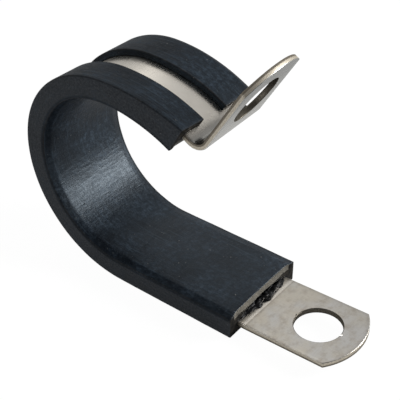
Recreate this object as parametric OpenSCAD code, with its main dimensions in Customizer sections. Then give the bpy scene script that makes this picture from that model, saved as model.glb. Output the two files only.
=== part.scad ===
// Rubber lined P clip, as supplied: a folded steel band with a holed tab at each end, carried in
// an extruded rubber channel and sprung open so that it passes over a pipe.
// The origin is the centre of the lower tab's hole, halfway through the steel. The clip lies on
// the lips of its straight foot, with its width along Y and the loop towards -X.

/* [Steel band] */
// Width of the steel strip
band_w = 15; // [12:0.5:20]
// Thickness of the steel strip
band_t = 1; // [0.6:0.1:1.2]

/* [Tabs] */
// Diameter of the fixing hole in each tab
hole_d = 8.5; // [5:0.1:9.5]
// Distance from a hole's centre to the tip of its tab
tip_reach = 8.2; // [7:0.1:12]
// Radius of the arc that ends each tab
end_r = 11.7; // [11:0.1:16]
// Flat steel from the lower hole's centre to the crease at the foot
crease_reach = 9.8; // [8:0.1:16]
// Angle by which the lower tab rises from the foot
crease_a = 2; // [0.5:0.5:8]
// Radius of the crease, along the middle of the steel
crease_r = 4; // [2:0.5:8]
// Bare steel between the crease and the rubber
foot_lead = 1.5; // [1:0.1:4]
// Bare steel between the rubber and the upper bend
arm_lead = 1.5; // [1:0.1:4]
// Radius of the upper bend, along the middle of the steel
bend_r = 2.4; // [1.4:0.1:4]
// Angle by which the upper tab is bent out of the arm
bend_a = 92.5; // [60:0.5:100]
// Flat steel from the upper bend to the upper hole's centre
bend_reach = 7.4; // [6:0.1:12]

/* [Open loop] */
// Length of the straight foot that is covered in rubber
foot_l = 25.2; // [20:0.1:32]
// Radius of the quarter turn in which the loop rises from the foot
toe_r = 19.5; // [17:0.1:24]
// Radius of the quarter turn in which the loop comes over its back to its crown
back_r = 17.6; // [16:0.1:24]
// Radius of the arm that comes down from the crown
arm_r = 31; // [20:0.5:40]
// Angle that the rubber covers past the crown
arm_a = 30; // [15:0.5:36]

/* [Rubber channel] */
// Width of the rubber over its two webs
liner_w = 19.6; // [17.5:0.1:26]
// Thickness of the lips that hook behind the band
lip_t = 1.2; // [0.8:0.1:2]
// Width of the slot between the lips, where the steel shows
slot_w = 6.1; // [3:0.1:10]
// How far the slot lies from the middle of the width, towards -Y, as one lip is drawn wider
slot_shift = 0.4; // [0:0.1:1]
// Height of the webs above the band's inner face
web_h = 1.9; // [1.2:0.1:3]
// Width of the bevel between a web and the crowned wall
bevel_w = 1.6; // [0.5:0.1:3]
// Height of that bevel
bevel_h = 0.4; // [0.1:0.1:1]
// Rise of the crowned wall between its bevels
crown_h = 0.2; // [0.1:0.1:1]
// Thickness of the crowned wall at its middle
wall_t = 1.6; // [1.1:0.1:1.7]
// Rounding of the channel's outer corners
corner_r = 0.3; // [0.1:0.05:0.5]
// Clearance between the band and the channel round it
fit_gap = 0.05; // [0.02:0.01:0.1]

/* [Adhesive] */
// Length of the bead across the band
bead_l = 9.5; // [6:0.5:11]
// How far the bead stands out of the rubber
bead_reach = 1.2; // [0.7:0.1:1.4]
// Spacing of the drops along the bead, in radii of the smallest drop
drop_pitch = 2.2; // [1.6:0.1:2.4]
// How much smaller the smallest drop is than the largest, as a share
drop_rough = 0.3; // [0.1:0.05:0.5]
// Clearance between the drops and the rubber that arches over them
drop_gap = 0.1; // [0.05:0.05:0.2]

/* [Hidden] */
$fn = 96;
// A stretch of the band is [length, 0] where it is straight and [radius, turn] where it is bent,
// measured along the middle of the steel. A turn above 0 bends towards the inside of the loop.
crease = [crease_r, crease_a];
bend = [bend_r, -bend_a];
arm_lead_a = 180 / PI * arm_lead / arm_r;
liner_run = [[foot_l, 0], [toe_r, 90], [back_r, 90], [arm_r, arm_a]];
band_run = [[foot_lead + foot_l, 0], [toe_r, 90], [back_r, 90], [arm_r, arm_a + arm_lead_a]];
// How far the steel is drawn in on every face where it is folded
fold_draw = 0.02;
// How far a fold reaches into the flats on both sides of it
fold_lap = 0.2;
// Depths in the channel's section, measured from the middle of the steel towards the inside
face_n = band_t / 2;
lip_n = -face_n - fit_gap;
back_n = lip_n - lip_t;
web_n = face_n + web_h;
bevel_n = web_n + bevel_h;
crown_n = bevel_n + crown_h;
arch_n = crown_n - wall_t;
pocket_w = band_w + 2 * fit_gap;
arc_steps = 14;

// Radius of an arc with this chord and this rise
function bow_r(chord, rise) = (chord * chord / 4 + rise * rise) / (2 * rise);

// Depth of an arc that stands on a chord at depth n, at the distance y from its middle
function bow_n(n, chord, rise, y) =
    let (r = bow_r(chord, rise)) n + rise - r + sqrt(r * r - y * y);

// Clear height between the band and the wall that arches over it, at the distance y from the middle
function arch_gap(y) = bow_n(face_n + fit_gap, pocket_w, arch_n - face_n - fit_gap, y) - face_n;

// Points of a quarter round of radius r about centre c, from angle a
function quarter(c, r, a) = [for (i = [0:3]) c + r * [cos(a + 30 * i), sin(a + 30 * i)]];

// Points of an arc across the section, from y = -half to y = half
function bow(n, chord, rise) =
    [for (i = [0:arc_steps]) let (y = chord * (i / arc_steps - 0.5)) [bow_n(n, chord, rise, y), y]];

// The section of the steel: x is towards the inside of the loop, y across the width
module band_section() {
    square([band_t, band_w], center = true);
}

// Half of the channel's outline, from the lip's edge round the web to the bevel
module channel_outline() {
    half_w = liner_w / 2;
    side = concat(
        [[bevel_n, half_w - bevel_w]],
        quarter([web_n - corner_r, half_w - corner_r], corner_r, 0),
        quarter([back_n + corner_r, half_w - corner_r], corner_r, 90),
    );
    far_side = [for (p = side) [p[0], -p[1]]];
    crown = bow(bevel_n, liner_w - 2 * bevel_w, crown_h);
    polygon(concat(
        side,
        [for (i = [len(far_side) - 1:-1:1]) far_side[i]],
        [for (i = [0:arc_steps - 1]) crown[i]]
    ));
}

// The pocket that the band lies in, arched on its inner side so that the wall gives under the pipe
module pocket_outline() {
    arch = bow(face_n + fit_gap, pocket_w, arch_n - face_n - fit_gap);
    polygon(concat([[lip_n, -pocket_w / 2]], arch, [[lip_n, pocket_w / 2]]));
}

// The section of the rubber: a crowned wall, two webs and two lips with a slot between them
module liner_section() {
    difference() {
        channel_outline();
        pocket_outline();
        translate([back_n - 1, -slot_w / 2 - slot_shift])
            square([face_n - back_n + 1, slot_w]);
    }
}

// Carries a section along one stretch that starts at the origin and heads along +X, with the
// inside of the loop towards +Y and the width along Z
module sweep(stretch) {
    if (stretch[1] == 0)
        rotate([90, 0, 90]) linear_extrude(stretch[0]) children();
    else if (stretch[1] > 0)
        translate([0, stretch[0], 0]) rotate([0, 0, -90]) rotate_extrude(angle = stretch[1])
            translate([stretch[0], 0]) mirror([1, 0]) children();
    else
        mirror([0, 1, 0]) sweep([stretch[0], -stretch[1]]) mirror([1, 0]) children();
}

// Moves the children to the end of one stretch
module step_on(stretch) {
    centre = stretch[1] > 0 ? stretch[0] : -stretch[0];
    if (stretch[1] == 0)
        translate([stretch[0], 0, 0]) children();
    else
        translate([0, centre, 0]) rotate([0, 0, stretch[1]]) translate([0, -centre, 0]) children();
}

// Moves the children to the end of a run of stretches
module go_to_end(stretches, i = 0) {
    if (i < len(stretches)) step_on(stretches[i]) go_to_end(stretches, i + 1) children();
    else children();
}

// Carries a section along a run of stretches, one after another
module run(stretches, i = 0) {
    if (i < len(stretches)) {
        sweep(stretches[i]) children();
        step_on(stretches[i]) run(stretches, i + 1) children();
    }
}

// Stands the clip up in its own frame: the foot level, the lower hole's centre at the origin
module stand() {
    hole_x = crease_r * sin(crease_a) + crease_reach * cos(crease_a);
    hole_y = crease_r * (1 - cos(crease_a)) + crease_reach * sin(crease_a);
    rotate([90, 0, 180]) translate([hole_x, -hole_y, 0]) children();
}

// The steel along one fold, a little thinner and narrower than the flats that its ends lie inside
module fold(stretch) {
    lap_a = 180 / PI * fold_lap / stretch[0];
    mirror([0, stretch[1] > 0 ? 0 : 1, 0])
        translate([0, stretch[0], 0]) rotate([0, 0, -lap_a]) translate([0, -stretch[0], 0])
            sweep([stretch[0], abs(stretch[1]) + 2 * lap_a])
                square([band_t - 2 * fold_draw, band_w - 2 * fold_draw], center = true);
}

// A flat tab with its hole at the origin and its tip towards +X; root is the length behind the hole
module tab(root) {
    arc_x = tip_reach - end_r;
    rotate([90, 0, 0]) linear_extrude(band_t, center = true) difference() {
        union() {
            translate([-root, -band_w / 2]) square([root + arc_x, band_w]);
            intersection() {
                translate([arc_x, -band_w / 2]) square([end_r, band_w]);
                translate([arc_x, 0]) circle(end_r);
            }
        }
        circle(d = hole_d);
    }
}

// A fold with the tab that it turns; reach is the flat steel from the fold to the hole's centre
module folded_tab(stretch, reach) {
    fold(stretch);
    step_on(stretch) translate([reach, 0, 0]) tab(reach);
}

// One stamped strip of stainless steel, folded into two tabs and an open loop
module steel_band() {
    color([0.70, 0.67, 0.63]) stand() {
        mirror([1, 0, 0]) folded_tab(crease, crease_reach);
        run(band_run) band_section();
        go_to_end(band_run) folded_tab(bend, bend_reach);
    }
}

// One length of extruded rubber channel, slipped over the band between the two bare ends
module rubber_liner() {
    color([0.13, 0.15, 0.18]) stand() translate([foot_lead, 0, 0]) run(liner_run) liner_section();
}

// Adhesive that has squeezed out of the pocket at the foot: uneven drops that run together, wholly
// out of the rubber in front and just inside its pocket behind, each cut off flat on the steel
module adhesive_bead() {
    end_drop_r = (1 - drop_rough) * (arch_gap(bead_l / 2) - drop_gap);
    drops = ceil(bead_l / (drop_pitch * end_drop_r)) + 1;
    pitch = bead_l / (drops - 1);
    reach_max = bead_reach + drop_gap + web_h;
    color([0.03, 0.03, 0.03]) stand()
        translate([foot_lead, face_n, 0]) intersection() {
            translate([-reach_max, 0, -band_w / 2]) cube([2 * reach_max, reach_max, band_w]);
            for (i = [0:drops - 1]) {
                y = pitch * i - bead_l / 2;
                bulge = cos(180 * y / bead_l);
                share = 1 - drop_rough * (1 + sin(137 * i)) / 2;
                front_r = share * (arch_gap(y) - drop_gap);
                back_r = front_r * (1 - drop_rough / 2);
                translate([front_r - bead_reach * share * bulge, 0, y]) sphere(front_r, $fn = 48);
                translate([back_r / 2, 0, y + pitch / 3]) sphere(back_r, $fn = 48);
            }
        }
}

steel_band();
rubber_liner();
adhesive_bead();
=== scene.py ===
import math

import bmesh
import bpy
from mathutils import Matrix, Vector, geometry, noise


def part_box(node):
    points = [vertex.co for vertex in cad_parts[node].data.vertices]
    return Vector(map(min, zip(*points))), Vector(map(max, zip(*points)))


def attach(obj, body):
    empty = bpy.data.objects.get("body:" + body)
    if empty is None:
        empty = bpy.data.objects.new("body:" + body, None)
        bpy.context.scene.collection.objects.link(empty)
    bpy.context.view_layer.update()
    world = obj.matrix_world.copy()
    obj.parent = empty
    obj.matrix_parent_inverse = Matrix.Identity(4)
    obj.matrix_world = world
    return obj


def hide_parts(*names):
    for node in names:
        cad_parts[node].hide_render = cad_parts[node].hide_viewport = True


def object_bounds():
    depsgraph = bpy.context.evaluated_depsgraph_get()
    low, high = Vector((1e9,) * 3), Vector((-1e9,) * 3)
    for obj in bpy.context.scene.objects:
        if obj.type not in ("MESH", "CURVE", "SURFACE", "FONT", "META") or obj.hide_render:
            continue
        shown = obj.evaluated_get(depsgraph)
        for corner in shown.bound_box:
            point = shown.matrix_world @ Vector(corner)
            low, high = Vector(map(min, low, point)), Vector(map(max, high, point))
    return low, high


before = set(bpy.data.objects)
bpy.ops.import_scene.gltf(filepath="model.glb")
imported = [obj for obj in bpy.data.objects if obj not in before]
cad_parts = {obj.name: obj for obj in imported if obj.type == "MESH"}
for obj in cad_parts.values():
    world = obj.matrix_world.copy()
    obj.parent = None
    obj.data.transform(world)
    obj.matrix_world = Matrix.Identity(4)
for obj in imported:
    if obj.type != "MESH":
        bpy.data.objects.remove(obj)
cad_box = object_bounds()

# ---------------------------------------------------------------- steel band
# One strip of 1 mm stainless steel. It is stamped flat, with a hole and an arc end at each end,
# then folded: a short crease at the foot, the open loop, and the upper tab turned out of the arm.
# Mill finish, with the sheared edges left as they came off the press.
MM = 0.001
band_width = 15 * MM
steel = 1 * MM
hole_radius = 4.25 * MM
upper_hole_radius = 4.65 * MM
break_out = 0.16 * MM
tip_reach = 8.2 * MM
end_radius = 11.7 * MM
tab_back = 6.9 * MM
tab_tilt = math.radians(2)
crease_reach = 9.8 * MM
crease_radius = 4 * MM
foot_lead = 1.5 * MM
foot_length = 25.2 * MM
toe_radius = 19.5 * MM
back_radius = 17.6 * MM
arm_radius = 31 * MM
arm_turn = math.radians(30)
arm_lead = 0.9 * MM
bend_radius = 2.5 * MM
bend_length = bend_radius * math.radians(89.5)
bend_reach = 7.5 * MM
arm_roll = math.radians(1.6)
bend_askew = math.radians(2.0)
rollover = 0.13 * MM
burr_round = 0.05 * MM
burnish_end = 0.12 * MM
burnish_inset = 0.02 * MM

# Each stretch along the middle of the steel, from the lower hole's centre to the upper bend: its
# length, and the angle that it turns towards the inside of the loop.
quarter = math.pi / 2
stretches = [
    (crease_reach, 0),
    (crease_radius * tab_tilt, tab_tilt),
    (foot_lead, 0),
    (foot_length, 0),
    (toe_radius * quarter, quarter),
    (back_radius * quarter, quarter),
    (arm_radius * arm_turn, arm_turn),
    (arm_lead, arm_lead / arm_radius),
]
lower_hole = 0.0
rubber_start = sum(length for length, turn in stretches[:3])
rubber_end = sum(length for length, turn in stretches[:7])
bend_start = rubber_end + arm_lead
upper_hole = bend_start + bend_length + bend_reach
roll_start = rubber_end - arm_radius * arm_turn - back_radius * quarter / 2


def held(value):
    """The value, held between 0 and 1."""
    return min(1, max(0, value))


def loop_frame(run):
    """Where the middle of the strip is before the upper bend, and which way it heads and faces."""
    x = 0.0
    z = 0.0
    heading = -tab_tilt
    left = run
    for length, turn in stretches:
        step = left if run < 0 else min(left, length)
        if turn == 0:
            x += step * math.cos(heading)
            z += step * math.sin(heading)
        else:
            radius = length / turn
            swept = step / radius
            x += radius * (math.sin(heading + swept) - math.sin(heading))
            z += radius * (math.cos(heading) - math.cos(heading + swept))
            heading += swept
        left -= step
        if left <= 0:
            break
    x += left * math.cos(heading)
    z += left * math.sin(heading)
    ahead = Vector((-math.cos(heading), 0, math.sin(heading)))
    inward = Vector((math.sin(heading), 0, math.cos(heading)))
    # The sprung arm is rolled a little, so that its near edge stands higher.
    risen = held((run - roll_start) / (rubber_end - roll_start))
    roll = arm_roll * risen * risen
    sideways = Vector((0, 1, 0)) * math.cos(roll) + inward * math.sin(roll)
    inward = inward * math.cos(roll) - Vector((0, 1, 0)) * math.sin(roll)
    return Vector((-x, 0, z)), ahead, sideways, inward


fold_middle, fold_ahead, fold_sideways, fold_inward = loop_frame(bend_start)
skewed_ahead = fold_ahead * math.cos(bend_askew) + fold_sideways * math.sin(bend_askew)
skewed_sideways = fold_sideways * math.cos(bend_askew) - fold_ahead * math.sin(bend_askew)


def folded(run, across, depth):
    """Where a point of the flat strip lands: run along it, across its width, depth to the inside."""
    past = (run - bend_start) * math.cos(bend_askew) + across * math.sin(bend_askew)
    if past <= 0:
        middle, ahead, sideways, inward = loop_frame(run)
        return middle + sideways * across + inward * depth
    level = across * math.cos(bend_askew) - (run - bend_start) * math.sin(bend_askew)
    turned = min(past, bend_length) / bend_radius
    beyond = max(0, past - bend_length)
    ahead = bend_radius * math.sin(turned) + beyond * math.cos(turned) + depth * math.sin(turned)
    inward = depth * math.cos(turned) - bend_radius * (1 - math.cos(turned)) - beyond * math.sin(turned)
    return fold_middle + skewed_ahead * ahead + skewed_sideways * level + fold_inward * inward


# How many steps the tab's sides, half of its arc and the strip's width are drawn in.
side_steps = 22
arc_steps = 18
across_steps = 24


def tab_outline(inset):
    """The stamped end, seen flat with its hole at (0, 0): up one side, round the arc, down the other."""
    half = band_width / 2 - inset
    radius = end_radius - inset
    middle = tip_reach - end_radius
    spread = math.asin(half / radius)
    corner = middle + radius * math.cos(spread)
    side = [(-tab_back + (corner + tab_back) * i / side_steps, -half) for i in range(side_steps)]
    arc = [(middle + radius * math.cos(a), radius * math.sin(a))
           for a in (spread * (i / arc_steps - 1) for i in range(2 * arc_steps + 1))]
    other = [(x, -y) for x, y in reversed(side)]
    return side + arc + other


def across_strip(inset):
    """Stops across the strip from one edge to the other."""
    half = band_width / 2 - inset
    return [half - 2 * half * i / across_steps for i in range(across_steps + 1)]


def tab_rim(inset):
    """The tab's whole rim: its outline, then the line where it passes into the plain strip."""
    return tab_outline(inset) + [(-tab_back, y) for y in across_strip(inset)[1:-1]]


def outwards(rim):
    """The direction from the hole's centre to each point of a rim."""
    return [(x / math.hypot(x, y), y / math.hypot(x, y)) for x, y in rim]


# The finishes of the band, in the order that its mesh numbers them.
mill_face = 0
burnished_edge = 1
torn_edge = 2
hole_wall = 3

# Sheared edge, from the face that the punch enters to the burr side: how far it stands back from
# the outline, its height from the middle of the steel, and the finish of the edge down to there.
edge_profile = [(rollover * (1 - math.sin(a)), steel / 2 - rollover * (1 - math.cos(a)), mill_face)
                for a in (math.radians(d) for d in (0, 30, 60, 90))]
edge_profile += [(burnish_inset, -burnish_end, burnished_edge),
                 (0.0, -steel / 2 + burr_round, torn_edge),
                 (burr_round, -steel / 2, torn_edge)]
edge_steps = list(zip(edge_profile, edge_profile[1:]))
both_faces = [edge_profile[0][:2], edge_profile[-1][:2]]

band_points = []
band_faces = []
band_marks = []
band_key = {}


def band_point(run, across, depth):
    """The number of a point on the strip, which neighbouring faces share."""
    key = (round(run * 1e8), round(across * 1e8), round(depth * 1e8))
    if key not in band_key:
        band_key[key] = len(band_points)
        band_points.append((run, across, depth))
    return band_key[key]


def band_quad(corners, mark):
    """Adds one face to the band, unless its corners fall together."""
    ring = []
    for corner in (band_point(*c) for c in corners):
        if corner not in ring:
            ring.append(corner)
    if len(ring) > 2:
        band_faces.append(ring)
        band_marks.append(mark)


def band_row(first, second, mark):
    """Adds a row of faces between two lines of points."""
    for (a, b), (c, d) in zip(zip(first, first[1:]), zip(second, second[1:])):
        band_quad((a, b, d, c), mark)


ring_count = 8
ring_crowding = 1.2


def add_tab(hole_at, way, bore, flare):
    """Adds one stamped end: way is 1 where the tab ends the strip and -1 where it begins it."""

    def on_tab(ring, depth):
        return [(hole_at + way * x, y, depth) for x, y in ring]

    def round_hole(ways, inset, depth):
        """A ring on the hole's wall, a little wider towards the face where the punch broke out."""
        radius = bore + inset + flare * (0.5 - depth / steel)
        return [(radius * x, radius * y) for x, y in ways]

    # Both faces, as rings of quads from the hole out to the edge.
    for inset, depth in both_faces:
        rim = tab_rim(inset)
        eye = round_hole(outwards(rim), inset, depth)
        rings = []
        for step in range(ring_count):
            share = (step / (ring_count - 1)) ** ring_crowding
            ring = [((1 - share) * hole_x + share * rim_x, (1 - share) * hole_y + share * rim_y)
                    for (hole_x, hole_y), (rim_x, rim_y) in zip(eye, rim)]
            rings.append(on_tab(ring + ring[:1], depth))
        for near, far in zip(rings, rings[1:]):
            band_row(near, far, mill_face)
    # The sheared edge round the tab and round the hole.
    ways = outwards(tab_rim(0))
    for (inset_a, depth_a, _), (inset_b, depth_b, mark) in edge_steps:
        band_row(on_tab(tab_outline(inset_a), depth_a), on_tab(tab_outline(inset_b), depth_b), mark)
        hole_a = round_hole(ways + ways[:1], inset_a, depth_a)
        hole_b = round_hole(ways + ways[:1], inset_b, depth_b)
        band_row(on_tab(hole_a, depth_a), on_tab(hole_b, depth_b), hole_wall)


add_tab(lower_hole, -1, hole_radius, 0)
add_tab(upper_hole, 1, upper_hole_radius, break_out)

# The plain strip between the tabs, in rows that lie closer together where the steel bends.
plain_pitch = 0.5 * MM
bend_pitch = 0.09 * MM
last_row = upper_hole - tab_back
rows = [lower_hole + tab_back]
while rows[-1] < last_row - 1e-7:
    here = rows[-1]
    bent = crease_reach - 0.1 * MM < here < rubber_start or here > bend_start - 0.6 * MM
    rows.append(min(here + (bend_pitch if bent else plain_pitch), last_row))
for near, far in zip(rows, rows[1:]):
    for inset, depth in both_faces:
        stops = across_strip(inset)
        for a, b in zip(stops, stops[1:]):
            band_row([(near, a, depth), (far, a, depth)], [(near, b, depth), (far, b, depth)], mill_face)
    for (inset_a, depth_a, _), (inset_b, depth_b, mark) in edge_steps:
        for side in (-1, 1):
            a = side * (band_width / 2 - inset_a)
            b = side * (band_width / 2 - inset_b)
            band_row([(near, a, depth_a), (far, a, depth_a)], [(near, b, depth_b), (far, b, depth_b)], mark)


def made_piece(name, points, faces, materials, marks):
    """A mesh object from points in metres, its faces turned outwards."""
    mesh = bpy.data.meshes.new(name)
    mesh.from_pydata(points, [], faces)
    for material in materials:
        mesh.materials.append(material)
    for face, mark in zip(mesh.polygons, marks):
        face.material_index = mark
        face.use_smooth = True
    work = bmesh.new()
    work.from_mesh(mesh)
    bmesh.ops.recalc_face_normals(work, faces=work.faces)
    work.to_mesh(mesh)
    work.free()
    piece = bpy.data.objects.new(name, mesh)
    bpy.context.scene.collection.objects.link(piece)
    return piece


def put(tree, socket, value):
    """Links a socket to another node's output, or sets its constant."""
    if isinstance(value, bpy.types.NodeSocket):
        tree.links.new(value, socket)
    else:
        socket.default_value = value


def new_node(tree, kind, **inputs):
    """A node with its named inputs linked or set. An underscore stands for a space in a name."""
    made = tree.nodes.new("ShaderNode" + kind)
    for socket, value in inputs.items():
        put(tree, made.inputs[socket.replace("_", " ")], value)
    return made


def maths(tree, kind, *values):
    """A sum of one, two or three values, of the named kind."""
    made = new_node(tree, "Math")
    made.operation = kind
    for socket, value in zip(made.inputs, values):
        put(tree, socket, value)
    return made.outputs[0]


class Finish:
    """A node material, built by adding one node at a time."""

    def __init__(self, name, **settings):
        self.material = bpy.data.materials.new(name)
        self.material.use_nodes = True
        self.tree = self.material.node_tree
        self.shader = self.tree.nodes["Principled BSDF"]
        self.coat(**settings)

    def coat(self, **inputs):
        """Links or sets the surface's own sockets, such as Base_Color."""
        for socket, value in inputs.items():
            put(self.tree, self.shader.inputs[socket.replace("_", " ")], value)

    def strip(self, along=1, across=1):
        """Coordinates on the flat strip, in millimetres, squeezed along or across it."""
        flat = new_node(self.tree, "UVMap")
        flat.uv_map = "strip"
        made = new_node(self.tree, "Mapping", Vector=flat.outputs["UV"], Scale=(along, across, 1))
        return made.outputs["Vector"]

    def run(self):
        """How far along the strip a point lies, in millimetres."""
        return new_node(self.tree, "SeparateXYZ", Vector=self.strip()).outputs["X"]

    def amount(self, name):
        """The amount that the mesh holds for each of its points under that name."""
        made = new_node(self.tree, "Attribute")
        made.attribute_name = name
        return made.outputs["Fac"]

    def grain(self, place, fineness, detail, rough, wander=0.0):
        """Cloudy noise between 0 and 1."""
        made = new_node(self.tree, "TexNoise", Vector=place, Scale=fineness, Detail=detail,
                        Roughness=rough, Distortion=wander)
        return made.outputs["Fac"]

    def between(self, value, low, high, out_low=0.0, out_high=1.0):
        """Spreads a value's stretch from low to high over another one, and holds it at both ends."""
        made = new_node(self.tree, "MapRange", Value=value, From_Min=low, From_Max=high,
                        To_Min=out_low, To_Max=out_high)
        return made.outputs["Result"]

    def mixed(self, share, first, second):
        """The first colour, turning into the second one as the share goes from 0 to 1."""
        # The node keeps its two colours in inputs 6 and 7, and gives the mixed one in output 2.
        made = new_node(self.tree, "Mix")
        made.data_type = "RGBA"
        put(self.tree, made.inputs[0], share)
        put(self.tree, made.inputs[6], first)
        put(self.tree, made.inputs[7], second)
        return made.outputs[2]

    def added(self, first, second):
        return maths(self.tree, "ADD", first, second)

    def less(self, first, second):
        return maths(self.tree, "SUBTRACT", first, second)

    def times(self, first, second):
        return maths(self.tree, "MULTIPLY", first, second)

    def raised(self, height, depth, share):
        """Bumps that stand depth above the surface where height is 1."""
        made = new_node(self.tree, "Bump", Height=height, Distance=depth, Strength=share)
        self.coat(Normal=made.outputs["Normal"])


brown_steel = (0.56, 0.515, 0.44, 1)
grey_steel = (0.57, 0.55, 0.52, 1)
stained_steel = (0.40, 0.35, 0.29, 1)
scuffed_steel = (0.48, 0.45, 0.41, 1)
pale_steel = (0.90, 0.84, 0.75, 1)
cool_steel = (0.86, 0.86, 0.84, 1)
darker_tip_steel = (0.36, 0.363, 0.352, 1)
# The colour of the painted shade in the hollow of the upper bend.
bend_shade_steel = (0.14, 0.14, 0.135, 1)


def mill_finish():
    """Rolled stainless: brown and grey clouds, stains, scuffs across it and fine lines along it."""
    made = Finish("mill_steel", Metallic=1.0, Specular_Tint=(0.70, 0.70, 0.69, 1))
    run = made.run()
    patches = made.grain(made.strip(), 0.20, 4.0, 0.62)
    stains = made.grain(made.strip(1, 0.8), 0.55, 4.0, 0.68)
    rolled = made.grain(made.strip(0.25, 9), 1.0, 3.0, 0.6)
    scuffs = made.grain(made.strip(2.6, 0.45), 0.8, 5.0, 0.72)
    browner = made.between(run, -8, 9, 0.10, -0.10)
    tone = made.mixed(made.between(made.added(patches, browner), 0.38, 0.62), brown_steel, grey_steel)
    tone = made.mixed(made.between(stains, 0.48, 0.70, 0.0, 0.85), tone, stained_steel)
    tone = made.mixed(made.between(scuffs, 0.52, 0.70, 0.0, 0.65), tone, scuffed_steel)
    tone = made.mixed(made.between(rolled, 0.5, 0.8, 0.0, 0.25), tone, pale_steel)
    # Long thin scratches from handling, which wander across the strip.
    hairs = made.grain(made.strip(5.0, 0.12), 1.1, 2.0, 0.5, 0.4)
    tone = made.mixed(made.times(made.between(hairs, 0.66, 0.70), 0.45), tone, scuffed_steel)
    # Past the crease the strip is paler: partly its own pale mill surface, partly painted light
    # for the light that falls on it from behind. Along the crease itself the steel is darker.
    kept_pale_and_lit = made.between(run, (crease_reach + 0.1 * MM) / MM, (crease_reach + 0.35 * MM) / MM)
    from_crease = maths(made.tree, "ABSOLUTE", made.less(run, crease_reach / MM))
    tone = made.mixed(made.times(kept_pale_and_lit, 0.80), tone, pale_steel)
    tone = made.mixed(made.between(from_crease, 0.02, 0.14, 0.55, 0.0), tone, stained_steel)
    # The upper tab is cooler than the lower one, and darker towards its end.
    bend_end = bend_start + bend_length
    cooler = made.between(run, bend_start / MM, bend_end / MM)
    tip_darkening = made.between(run, (bend_end + 1 * MM) / MM, (upper_hole + 5 * MM) / MM)
    tone = made.mixed(made.times(cooler, 0.75), tone, cool_steel)
    tone = made.mixed(made.times(tip_darkening, 0.85), tone, darker_tip_steel)
    # Painted shade darkens the hollow of the upper bend.
    tone = made.mixed(made.times(made.amount("painted_bend_shade"), 0.75), tone, bend_shade_steel)
    haze = made.added(made.between(patches, 0.3, 0.7, 0.28, 0.38), made.between(scuffs, 0.5, 0.75, 0.0, 0.12))
    haze = made.less(haze, made.times(kept_pale_and_lit, 0.06))
    haze = made.less(haze, made.times(cooler, 0.04))
    made.coat(Base_Color=tone, Roughness=haze)
    made.raised(scuffs, 0.015 * MM, 0.25)
    return made.material


def edge_steel(name, pale, dark, smooth, rough):
    """The cut edge of the strip: one colour running into another, with short torn marks."""
    made = Finish(name, Metallic=1.0, Specular_Tint=(0.6, 0.6, 0.58, 1))
    torn = made.grain(made.strip(6, 2), 0.8, 4.0, 0.6)
    made.coat(Base_Color=made.mixed(made.between(torn, 0.35, 0.7), pale, dark),
              Roughness=made.between(torn, 0.3, 0.7, smooth, rough))
    made.raised(torn, 0.03 * MM, 0.4)
    return made.material


def lay_out(piece, flat):
    """Gives the piece its place on the flat strip, in millimetres, as the map called strip."""
    layer = piece.data.uv_layers.new(name="strip")
    for corner in piece.data.loops:
        layer.data[corner.index].uv = flat[corner.vertex_index]


def hold_amounts(piece, name, amounts):
    """Holds an amount for each point of the mesh, which its material reads by name."""
    layer = piece.data.attributes.new(name, "FLOAT", "POINT")
    for point, amount in zip(layer.data, amounts):
        point.value = amount


def painted_bend_shade(run, depth):
    """Painted shade in the hollow of the upper bend: 1 at its middle, 0 at both ends."""
    along = (run - rubber_end) / (arm_lead + bend_length) * 2 - 1
    return max(0, 1 - along * along) if depth < 0 else 0.0


band = made_piece(
    "band", [folded(*point) for point in band_points], band_faces,
    [mill_finish(),
     edge_steel("sheared_steel", (0.74, 0.68, 0.57, 1), (0.46, 0.41, 0.33, 1), 0.38, 0.55),
     edge_steel("torn_steel", (0.30, 0.265, 0.215, 1), (0.20, 0.175, 0.14, 1), 0.45, 0.65),
     edge_steel("punched_steel", (0.15, 0.135, 0.11, 1), (0.06, 0.054, 0.045, 1), 0.35, 0.6)],
    band_marks)
# The map is drawn out by depth, so that marks also run down the cut edges.
lay_out(band, [(run / MM, (across + 3 * depth) / MM) for run, across, depth in band_points])
# How much painted shade each point in the hollow of the upper bend gets.
hold_amounts(band, "painted_bend_shade", [painted_bend_shade(run, depth) for run, across, depth in band_points])
evened = band.modifiers.new("flat faces", "WEIGHTED_NORMAL")
evened.weight = 90
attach(band, "root")
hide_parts("steel_band")

# -------------------------------------------------------------- rubber liner
# One length of extruded EPDM channel, cut square and slipped over the band before it is folded:
# a crowned wall for the pipe, two webs, and two lips that hook behind the steel. The wall
# arches off the steel. It is blue-black, dusted with bloom, and brown where its arrises are worn.
liner_width = 19.6 * MM
liner_half = liner_width / 2
far_half = liner_half + 0.22 * MM
lip = 1.2 * MM
play = 0.05 * MM
slot_near = 3.45 * MM
slot_far = 2.65 * MM
web_top = steel / 2 + 1.9 * MM
bevel_width = 1.6 * MM
bevel_top = web_top + 0.4 * MM
crown_half = liner_half - bevel_width
crown_top = bevel_top + 0.2 * MM
wall = 1.15 * MM
lip_inside = -steel / 2 - play
lip_back = lip_inside - lip
pocket_half = band_width / 2 + play
pocket_top = steel / 2 + play
bevel_round = 1.6 * MM
slot_round = 0.18 * MM
hook_round = 0.14 * MM
pocket_round = 0.1 * MM
end_round = 0.1 * MM
outline_pitch = 0.42 * MM
station_pitch = 0.45 * MM
grid_pitch = 0.3 * MM
crown_steps = 12
arch_steps = 10
cut_depth = 2 * MM
cut_askew = 0.015
wall_lean = 0.3 * MM
# How deep the painted highlight on the wall's cut end reaches.
lit_band_depth = 1.25 * MM
lip_rise = 1.25 * MM
lift_length = 20 * MM
arris_wear = 0.26 * MM
end_wear = 0.2 * MM


def bowed(across, half, low, high):
    """Height of a shallow arc that rises from low at its ends to high in its middle."""
    rise = high - low
    radius = (half * half + rise * rise) / (2 * rise)
    return high - radius + math.sqrt(radius * radius - across * across)


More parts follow.
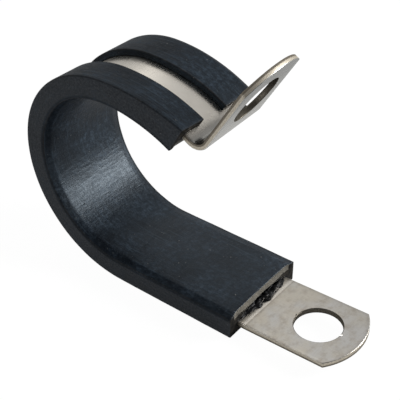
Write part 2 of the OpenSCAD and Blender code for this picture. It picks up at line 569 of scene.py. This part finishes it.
def rounded(corners, pitch):
    """A closed outline with its corners rounded, and a point at least every pitch along it."""
    outline = []
    for i, (x, y, radius) in enumerate(corners):
        here = Vector((x, y))
        before = Vector(corners[i - 1][:2]) - here
        after = Vector(corners[(i + 1) % len(corners)][:2]) - here
        opening = before.angle(after)
        if radius > 0 and opening < math.radians(179):
            reach = radius / math.tan(opening / 2)
            first = here + before.normalized() * reach
            last = here + after.normalized() * reach
            steps = max(2, round((math.pi - opening) / math.radians(18)))
            for k in range(steps + 1):
                t = k / steps
                outline.append(first * (1 - t) ** 2 + here * 2 * t * (1 - t) + last * t * t)
        else:
            outline.append(here)
    filled = []
    for a, b in zip(outline, outline[1:] + outline[:1]):
        steps = max(1, math.ceil((b - a).length / pitch))
        filled += [a + (b - a) * k / steps for k in range(steps)]
    return filled


crown = [(y, bowed(y, crown_half, bevel_top, crown_top), 0)
         for y in (crown_half * (1 - i / crown_steps) for i in range(1, 2 * crown_steps))]
arch = [(y, bowed(y, pocket_half, pocket_top, crown_top - wall), 0)
        for y in (pocket_half * (i / arch_steps - 1) for i in range(1, 2 * arch_steps))]
channel = rounded(
    [(-slot_near, lip_back, slot_round), (-liner_half, lip_back, 0.35 * MM),
     (-liner_half, web_top, 0.45 * MM), (-crown_half, bevel_top, bevel_round)]
    + crown[::-1]
    + [(crown_half, bevel_top, bevel_round), (far_half, web_top, 0.3 * MM),
       (far_half, lip_back, 0.25 * MM), (slot_far, lip_back, slot_round),
       (slot_far, lip_inside, hook_round), (pocket_half, lip_inside, pocket_round),
       (pocket_half, pocket_top, pocket_round)]
    + arch[::-1]
    + [(-pocket_half, pocket_top, pocket_round), (-pocket_half, lip_inside, pocket_round),
       (-slot_near, lip_inside, hook_round)],
    outline_pitch)
outer_arrises = [Vector((y, h)) for y, h in (
    (-slot_near, lip_back), (-liner_half, lip_back), (-liner_half, web_top),
    (slot_far, lip_back), (liner_half, lip_back), (liner_half, web_top))]
girth = [0.0]
for a, b in zip(channel, channel[1:]):
    girth.append(girth[-1] + (b - a).length)


def shrunk(outline, inset):
    """The outline with every point moved inwards, to round off a cut end."""
    moved = []
    for i, here in enumerate(outline):
        along = (outline[(i + 1) % len(outline)] - outline[i - 1]).normalized()
        moved.append(here + Vector((along.y, -along.x)) * inset)
    return moved


def set_back(across, depth):
    """How far the wall's cut end leans back from the webs' end: more towards its top."""
    under = bowed(min(abs(across), pocket_half - play), pocket_half, pocket_top, crown_top - wall)
    height = held((depth - under) / wall)
    middle = held((liner_half - 0.9 * MM - abs(across)) / (1.2 * MM))
    return wall_lean * height * middle


def raised_lip(run, across, depth):
    """How far the near lip stands up at the arm's end, where the rubber pulls off the curve."""
    if across >= 0:
        return 0.0
    ending = max(0, 1 - (rubber_end - run) / lift_length) ** 2
    outer = held((-across - slot_near) / (liner_half - slot_near))
    web = held((-across - pocket_half) / (liner_half - pocket_half))
    top = lip_inside + (web_top - lip_inside) * web
    lower = held((top - depth) / (top - lip_back))
    return lip_rise * ending * (0.25 + 0.75 * outer) * lower


def from_end(run):
    """How far a place lies from the nearer cut end."""
    return min(run - rubber_start, rubber_end - run)


def settled(run, across, depth):
    """Where a point of the channel comes to lie, as extruded rubber is never quite even."""
    side = 1 if across > 0 else -1
    wave = abs(noise.noise(Vector((run / MM / 7, across / MM / 6, depth / MM / 3))))
    # The edges of the slot wander a little.
    if depth < lip_inside + 0.01 * MM and abs(across) < pocket_half:
        across += 0.16 * MM * noise.noise(Vector((run / MM / 9, 7.3 * side, 0))) * side
    rise = raised_lip(run, across, depth)
    # Slow waves of a few hundredths run along the webs and the crown.
    across -= 0.05 * MM * wave * max(-1, min(1, across / liner_half)) ** 3
    if depth > web_top - 0.3 * MM:
        depth -= 0.04 * MM * wave
    return across, depth - rise


# Stations along the strip, each with its inset: close together where the cut ends are rounded.
stations = [(rubber_start + end_round * (1 - math.sin(a)), end_round * (1 - math.cos(a)))
            for a in (math.radians(d) for d in (90, 60, 30, 0))]
end_stations = stations[::-1]
inner_length = rubber_end - rubber_start - 2 * end_round
inner_count = round((rubber_end - rubber_start) / station_pitch)
stations += [(rubber_start + end_round + inner_length * i / inner_count, 0)
             for i in range(1, inner_count)]
stations += [(rubber_end - (run - rubber_start), inset) for run, inset in end_stations]

liner_points = []
liner_flat = []
liner_worn = []
liner_paler_web = []
for run, inset in stations:
    ring = shrunk(channel, inset) if inset > 0 else channel
    to_end = from_end(run)
    near_end = max(0, 1 - to_end / cut_depth)
    for place, (y, h) in enumerate(ring):
        lean = set_back(y, h) * near_end
        if run < rubber_start + cut_depth:
            lean += cut_askew * (y + liner_half) * near_end
        # Both ends lean inwards, which is backwards along the strip at the arm.
        if run > (rubber_start + rubber_end) / 2:
            lean = -lean
        across, depth = settled(run, y, h)
        liner_points.append(folded(run + lean, across, depth))
        liner_flat.append((run / MM, girth[place] / MM))
        to_arris = min((channel[place] - edge).length for edge in outer_arrises)
        worn = math.exp(-(to_arris / arris_wear) ** 2)
        liner_worn.append(max(worn, 0.7 * math.exp(-(to_end / end_wear) ** 2)))
        # The lower part of both webs is marked to come out lighter and greyer.
        on_web = abs(channel[place].x) > liner_half - 0.05 * MM
        liner_paler_web.append(1.0 if on_web and channel[place].y < web_top - 0.5 * MM else 0.0)


def ring_quad(row, place, count):
    """The quad that starts at a place on one ring of points and reaches the next ring."""
    beyond = (place + 1) % count
    return (row * count + place, row * count + beyond, (row + 1) * count + beyond, (row + 1) * count + place)


# The finishes of the liner, in the order that its mesh numbers them.
outside = 0
pipe_side = 1
wall_end = 2
lip_end = 3

points_round = len(channel)
liner_faces = []
liner_marks = []
for row in range(len(stations) - 1):
    for place in range(points_round):
        middle = (channel[place] + channel[(place + 1) % points_round]) / 2
        on_wall = middle.y > web_top and abs(middle.x) < liner_half - 0.25 * MM
        liner_faces.append(ring_quad(row, place, points_round))
        liner_marks.append(pipe_side if on_wall else outside)


def encloses(outline, spot):
    """Whether a spot lies inside an outline: a line from it then crosses it an odd number of times."""
    crossings = 0
    for a, b in zip(outline, outline[1:] + outline[:1]):
        if (a.y > spot.y) != (b.y > spot.y):
            if spot.x < a.x + (spot.y - a.y) / (b.y - a.y) * (b.x - a.x):
                crossings += 1
    return crossings % 2 == 1


# The two cut ends, filled with small triangles so that the wall's end can lean back.
end_outline = shrunk(channel, end_round)
grid_half = math.floor(liner_half / grid_pitch)
grid_low = math.ceil(lip_back / grid_pitch)
grid_high = math.floor(crown_top / grid_pitch)
grid = [Vector((y * grid_pitch, h * grid_pitch))
        for y in range(-grid_half, grid_half + 1) for h in range(grid_low, grid_high + 1)]
sound = [spot for spot in grid
         if min((spot - edge).length for edge in end_outline) > 0.17 * MM and encloses(end_outline, spot)]
scaled = [spot / MM for spot in end_outline + sound]
inside_only = 1
filled = geometry.delaunay_2d_cdt(scaled, [], [list(range(points_round))], inside_only, 1e-5)
filled_spots = filled[0]
filled_triangles = filled[2]
filled_sources = filled[3]
first_end_face = len(liner_faces)
end_flat = {}
for run, first_point, inward in ((rubber_start, 0, 1), (rubber_end, (len(stations) - 1) * points_round, -1)):
    numbers = []
    for sources in filled_sources:
        source = sources[0]
        if source < points_round:
            number = first_point + source
            y, h = end_outline[source]
        else:
            number = len(liner_points)
            y, h = sound[source - points_round]
            askew = cut_askew * (y + liner_half) if inward == 1 else 0
            lean = inward * (set_back(y, h) + askew)
            liner_points.append(folded(run + lean, y, h - raised_lip(run, y, h)))
            liner_flat.append((y / MM, h / MM))
            liner_worn.append(0.0)
            liner_paler_web.append(0.0)
        numbers.append(number)
        end_flat[number] = (y / MM, h / MM)
    for triangle in filled_triangles:
        middle = sum((filled_spots[corner] for corner in triangle), Vector((0, 0))) / 3 * MM
        # A band along the top of the wall's cut end gets the pale painted highlight; the rest of the cut end
        # gets the dark painted shade.
        top = bowed(min(abs(middle.x), crown_half), crown_half, bevel_top, crown_top)
        on_wall = middle.y > top - lit_band_depth and abs(middle.x) < liner_half - 1.3 * MM
        liner_faces.append([numbers[corner] for corner in triangle])
        liner_marks.append(wall_end if on_wall else lip_end)

bloom_tone = (0.040, 0.058, 0.080, 1)
drawn_tone = (0.028, 0.042, 0.058, 1)
speckle_tone = (0.056, 0.070, 0.082, 1)
dust_tone = (0.26, 0.26, 0.25, 1)
worn_tone = (0.052, 0.042, 0.033, 1)
paler_web_tone = (0.072, 0.075, 0.081, 1)


def rubber(name, dark, pale, wiped, **settings):
    """Blue-black rubber: cloudy bloom, faint draw lines from the die, white dust and worn arrises."""
    made = Finish(name, **settings)
    clouds = made.grain(made.strip(), 0.11, 4.0, 0.6)
    mottle = made.grain(made.strip(1, 1.3), 0.85, 5.0, 0.70)
    speckle = made.grain(made.strip(), 2.6, 3.0, 0.7)
    drawn = made.grain(made.strip(0.07, 2.2), 1.0, 3.0, 0.6)
    colour = made.mixed(made.between(clouds, 0.36, 0.64), dark, pale)
    cloudy = made.times(made.between(mottle, 0.46, 0.70), made.between(clouds, 0.36, 0.62))
    colour = made.mixed(made.times(cloudy, 0.80), colour, bloom_tone)
    colour = made.mixed(made.between(drawn, 0.59, 0.68, 0.0, 0.60), colour, drawn_tone)
    colour = made.mixed(made.between(speckle, 0.56, 0.74, 0.0, 0.50), colour, speckle_tone)
    specks = new_node(made.tree, "TexVoronoi", Vector=made.strip(), Scale=1.15, Randomness=1.0)
    spread = made.grain(made.strip(), 0.9, 2.0, 0.5)
    dust = made.times(made.between(specks.outputs["Distance"], 0.08, 0.15, 1.0, 0.0),
                      made.between(spread, 0.55, 0.66))
    colour = made.mixed(made.times(dust, 0.65), colour, dust_tone)
    rubbed = made.times(made.between(made.amount("worn"), 0.35, 0.95),
                        made.between(mottle, 0.42, 0.62, 0.10, 0.65))
    colour = made.mixed(rubbed, colour, worn_tone)
    # The lower part of both webs is lighter and greyer, in patches.
    patchy = made.times(made.amount("paler_web"), made.between(speckle, 0.36, 0.70, 0.25, 0.85))
    colour = made.mixed(patchy, colour, paler_web_tone)
    if wiped:
        # The wall shines in soft streaks that run across it.
        streaks = made.grain(made.strip(1.5, 0.22), 0.9, 4.0, 0.6)
        shine = made.added(made.between(streaks, 0.3, 0.7, 0.29, 0.42),
                           made.between(mottle, 0.4, 0.7, 0.0, 0.12))
    else:
        streaks = drawn
        shine = made.between(mottle, 0.3, 0.7, 0.46, 0.66)
    made.coat(Base_Color=colour, Roughness=shine)
    made.raised(made.added(streaks, mottle), 0.10 * MM, 0.6)
    return made.material


def lit_cut_end():
    """A band along the top of the wall's cut end: rough, and pale grey-brown as a painted highlight where
    light catches it.
    """
    made = Finish("lit_cut_rubber", Specular_IOR_Level=0.2)
    pulled = made.grain(made.strip(), 2.2, 4.0, 0.65)
    smear = made.grain(made.strip(1, 0.5), 0.45, 3.0, 0.6)
    tone = made.mixed(made.between(smear, 0.35, 0.7), (0.110, 0.102, 0.086, 1), (0.180, 0.168, 0.142, 1))
    tone = made.mixed(made.between(pulled, 0.5, 0.8, 0.0, 0.5), tone, (0.10, 0.095, 0.086, 1))
    made.coat(Base_Color=tone, Roughness=made.between(pulled, 0.3, 0.7, 0.55, 0.75))
    made.raised(pulled, 0.03 * MM, 0.3)
    return made.material


def shaded_cut_end():
    """The rest of the cut ends, on the webs, the lips and the wall's lower part: smoother, and dark brown as
    painted shade.
    """
    made = Finish("shaded_cut_lip", Specular_IOR_Level=0.1, Roughness=0.7)
    cloud = made.grain(made.strip(), 1.3, 3.0, 0.5)
    made.coat(Base_Color=made.mixed(made.between(cloud, 0.4, 0.65), (0.006, 0.006, 0.006, 1),
                                    (0.024, 0.021, 0.017, 1)))
    return made.material


liner = made_piece(
    "liner", liner_points, liner_faces,
    [rubber("outside_rubber", (0.0016, 0.0026, 0.0046, 1), (0.0060, 0.0096, 0.0150, 1), False,
            Specular_IOR_Level=0.22, Specular_Tint=(0.70, 0.86, 1, 1)),
     rubber("inside_rubber", (0.0018, 0.0030, 0.0054, 1), (0.0060, 0.0098, 0.0155, 1), True,
            Specular_IOR_Level=0.34, Specular_Tint=(0.74, 0.88, 1, 1)),
     lit_cut_end(), shaded_cut_end()],
    liner_marks)
lay_out(liner, liner_flat)
# The cut ends have a map of their own, straight across the section.
end_map = liner.data.uv_layers["strip"].data
for face in liner.data.polygons[first_end_face:]:
    for corner in face.loop_indices:
        end_map[corner].uv = end_flat[liner.data.loops[corner].vertex_index]
hold_amounts(liner, "paler_web", liner_paler_web)
hold_amounts(liner, "worn", liner_worn)
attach(liner, "root")
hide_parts("rubber_liner")

# ------------------------------------------------------------- adhesive bead
# A bead of black adhesive that squeezed out of the pocket at the foot and set: rough, glossy
# lumps that run together on the steel, fullest at mid width and thin at both ends.
bead_half = 6.4 * MM
bead_front = 1.15 * MM
bead_behind = 0.5 * MM
bead_tuck = 0.25 * MM
bead_height = 0.80 * MM
bead_top = 1.05 * MM
fullest = 0.12
foot_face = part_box("adhesive_bead")[0].z
liner_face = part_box("rubber_liner")[1].x

ring_steps = 150
round_steps = 40
bead_points = []
for i in range(ring_steps + 1):
    share = i / ring_steps * 2 - 1
    fullness = max(0.02, 1 - (share - fullest) ** 2)
    for k in range(round_steps):
        angle = math.pi * k / (round_steps - 1)
        out = Vector((math.cos(angle), 5.0 * share, math.sin(angle)))
        lumps = noise.noise(out * 0.9 + Vector((3, 1, 0))) * 0.60 + noise.noise(out * 2.0) * 0.20
        size = max(0.45, 1 + lumps)
        reach = bead_behind
        if angle < math.pi / 2:
            reach = bead_front * (0.30 + 0.70 * fullness) * size
        rise = min(bead_top, bead_height * (0.35 + 0.65 * fullness) * size)
        bead_points.append(Vector((liner_face - bead_tuck + math.cos(angle) * reach, share * bead_half,
                                   foot_face + math.sin(angle) * rise)))
bead_faces = [ring_quad(i, k, round_steps) for i in range(ring_steps) for k in range(round_steps)]
bead_faces.append(list(range(round_steps)))
bead_faces.append(list(range(ring_steps * round_steps, (ring_steps + 1) * round_steps)))


def adhesive():
    """Black adhesive, set with a dull shine and faintly pitted."""
    made = Finish("set_adhesive", Specular_IOR_Level=0.12)
    pitted = made.grain(made.strip(), 1.8, 3.0, 0.5)
    made.coat(Base_Color=made.mixed(made.between(pitted, 0.45, 0.8), (0.0022, 0.0023, 0.0026, 1),
                                    (0.010, 0.010, 0.011, 1)),
              Roughness=made.between(pitted, 0.3, 0.7, 0.34, 0.52))
    return made.material


bead = made_piece("bead", bead_points, bead_faces, [adhesive()], [0] * len(bead_faces))
lay_out(bead, [(p.x / MM, (p.y + p.z) / MM) for p in bead_points])
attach(bead, "root")
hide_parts("adhesive_bead")

# --------------------------------------------------------------------- floor
# A plain pale floor. The camera sees most of it as an even white glow, with a little of its own
# matt surface left in for the shadow, and shiny surfaces mirror part of that white.
floor_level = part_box("rubber_liner")[0].z
floor_reach = 1.6
glow_share = 0.90
floor_mirrored = 0.35


def seen_white(tree, mirrored):
    """1 for what the camera sees directly, and the mirrored share for what it sees in a shine."""
    ray = new_node(tree, "LightPath")
    return maths(tree, "MULTIPLY_ADD", ray.outputs["Is Glossy Ray"], mirrored, ray.outputs["Is Camera Ray"])


def blended(tree, share, first, second):
    """Two surfaces mixed by a share from 0 to 1."""
    made = new_node(tree, "MixShader")
    for socket, value in zip(made.inputs, (share, first.outputs[0], second.outputs[0])):
        put(tree, socket, value)
    return made.outputs[0]


floor_mesh = bpy.data.meshes.new("floor")
floor_mesh.from_pydata([(-floor_reach, -floor_reach, floor_level), (floor_reach, -floor_reach, floor_level),
                        (floor_reach, floor_reach, floor_level), (-floor_reach, floor_reach, floor_level)],
                       [], [(0, 1, 2, 3)])
floor = bpy.data.objects.new("floor", floor_mesh)
bpy.context.scene.collection.objects.link(floor)
pale_floor = bpy.data.materials.new("pale_floor")
pale_floor.use_nodes = True
sheet = pale_floor.node_tree
sheet.nodes.clear()
matt = new_node(sheet, "BsdfDiffuse", Color=(0.52, 0.52, 0.52, 1))
glow = new_node(sheet, "Emission", Color=(1, 1, 1, 1), Strength=1.08)
glowing = maths(sheet, "MULTIPLY", seen_white(sheet, floor_mirrored), glow_share)
new_node(sheet, "OutputMaterial", Surface=blended(sheet, glowing, matt, glow))
floor.data.materials.append(pale_floor)

# -------------------------------------------------------------------- studio
# White where the camera looks straight at it. For all else the room is pale behind the clip and
# dark behind the camera, with a large soft box high at the back left, a small strong one low at
# the back right, which the inside of the wall shows as a long shine, and a weak one in front.
room_mirrored = 0.10
pale_way = (-0.60, 0.66, 0.45)
middle = (cad_box[0] + cad_box[1]) / 2

world = bpy.data.worlds.new("studio")
bpy.context.scene.world = world
world.use_nodes = True
room = world.node_tree
room.nodes.clear()
facing = new_node(room, "VectorMath")
facing.operation = "DOT_PRODUCT"
put(room, facing.inputs[0], new_node(room, "TexCoord").outputs["Generated"])
put(room, facing.inputs[1], pale_way)
level = new_node(room, "MapRange", Value=facing.outputs["Value"], From_Min=0.35, From_Max=0.88,
                 To_Min=0.05, To_Max=0.50)
level.interpolation_type = "SMOOTHSTEP"
shaded = new_node(room, "Background", Color=(0.96, 0.98, 1, 1), Strength=level.outputs["Result"])
white = new_node(room, "Background", Color=(1, 1, 1, 1), Strength=1.0)
new_node(room, "OutputWorld", Surface=blended(room, seen_white(room, room_mirrored), shaded, white))


def soft_box(name, bearing, height, distance, width, depth, power):
    """A rectangular lamp aimed at the clip. Bearing runs from +X towards +Y, height above the floor."""
    turned = math.radians(bearing)
    raised = math.radians(height)
    away = Vector((math.cos(raised) * math.cos(turned), math.cos(raised) * math.sin(turned),
                   math.sin(raised)))
    lamp = bpy.data.lights.new(name, "AREA")
    lamp.shape = "RECTANGLE"
    lamp.size = width
    lamp.size_y = depth
    lamp.energy = power
    holder = bpy.data.objects.new(name, lamp)
    holder.location = middle + away * distance
    holder.rotation_euler = away.to_track_quat("Z", "Y").to_euler()
    bpy.context.scene.collection.objects.link(holder)


soft_box("overhead box", 152, 52, 0.60, 0.50, 0.40, 0.38)
soft_box("low back box", 46, 23, 0.42, 0.18, 0.16, 2.15)
soft_box("front fill", 255, 28, 0.70, 0.45, 0.35, 0.95)

# -------------------------------------------------------------------- camera
# A long lens at the front right, looking down at 35 degrees with the lower tab nearest. The
# bearing runs from the front, -Y, towards +X.
aim = Vector((-32.9, 9.3, 6.9)) * MM
distance = 177 * MM
bearing = math.radians(38.37)
height = math.radians(35.32)
tilt = math.radians(-0.2)
back_off = Vector((math.cos(height) * math.sin(bearing), -math.cos(height) * math.cos(bearing),
                   math.sin(height)))
lens = bpy.data.cameras.new("camera")
lens.sensor_width = 36
lens.lens = 83.9
lens.clip_start = 0.01
lens.clip_end = 10
camera = bpy.data.objects.new("camera", lens)
camera.location = aim + back_off * distance
camera.rotation_mode = "QUATERNION"
level_turn = back_off.to_track_quat("Z", "Y")
camera.rotation_quaternion = level_turn @ Matrix.Rotation(tilt, 3, "Z").to_quaternion()
bpy.context.scene.collection.objects.link(camera)
bpy.context.scene.camera = camera
bpy.context.scene.view_settings.view_transform = "Standard"
